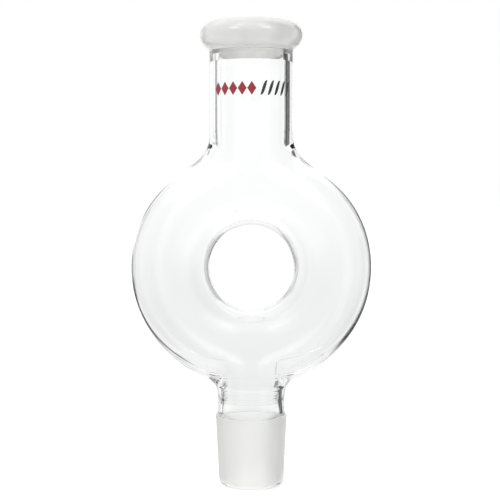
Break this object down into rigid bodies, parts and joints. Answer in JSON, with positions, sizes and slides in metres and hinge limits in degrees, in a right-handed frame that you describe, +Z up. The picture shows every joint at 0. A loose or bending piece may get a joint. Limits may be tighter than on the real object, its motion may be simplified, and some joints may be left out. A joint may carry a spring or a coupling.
{
  "type": "laboratory glass ring chamber adapter",
  "caption": "Clear glass laboratory vessel: hollow ring chamber with an open eye, neck with a white rounded lip above, ground male taper joint below.",
  "frame": {"origin": "centre of the fire-polished end face of the male ground joint, the lowest point of the vessel", "axes": "+Z up through the joint, the chamber and the neck; the eye of the ring chamber runs along Y; the printed ornament faces -Y"},
  "size_m": [0.151, 0.0642, 0.2894],
  "materials": {
    "clear_glass": "polished",
    "ground_glass": "matte",
    "white_glass": "gloss",
    "print_ink": "satin"
  },
  "bodies": {
    "root": {"mouth_lip": "white_glass", "neck_tube": "clear_glass", "ring_chamber": "clear_glass", "joint_stem": "clear_glass", "ground_joint": "ground_glass", "printed_decal": "print_ink"}
  },
  "joints": []
}
